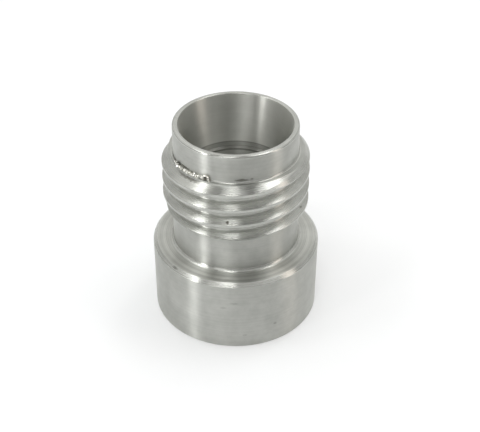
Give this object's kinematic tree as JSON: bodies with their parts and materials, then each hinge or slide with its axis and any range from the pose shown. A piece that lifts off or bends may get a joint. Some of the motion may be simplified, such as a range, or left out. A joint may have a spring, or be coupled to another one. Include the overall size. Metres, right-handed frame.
{
  "type": "weld bung",
  "caption": "Turned stainless weld bung: a thick collar, a relieved neck, a coarse male thread and a plain lip round a conical mouth and a through bore.",
  "frame": {"origin": "centre of the collar's flat base, on the axis", "axes": "+Z along the axis from the collar's base towards the mouth; -Y is the side that the picture sees"},
  "size_m": [0.035, 0.035, 0.044],
  "materials": {
    "turned_steel": "turned stainless steel, satin, with fine tool rings round the axis"
  },
  "bodies": {
    "root": {"weld_bung": "turned_steel"}
  },
  "joints": []
}
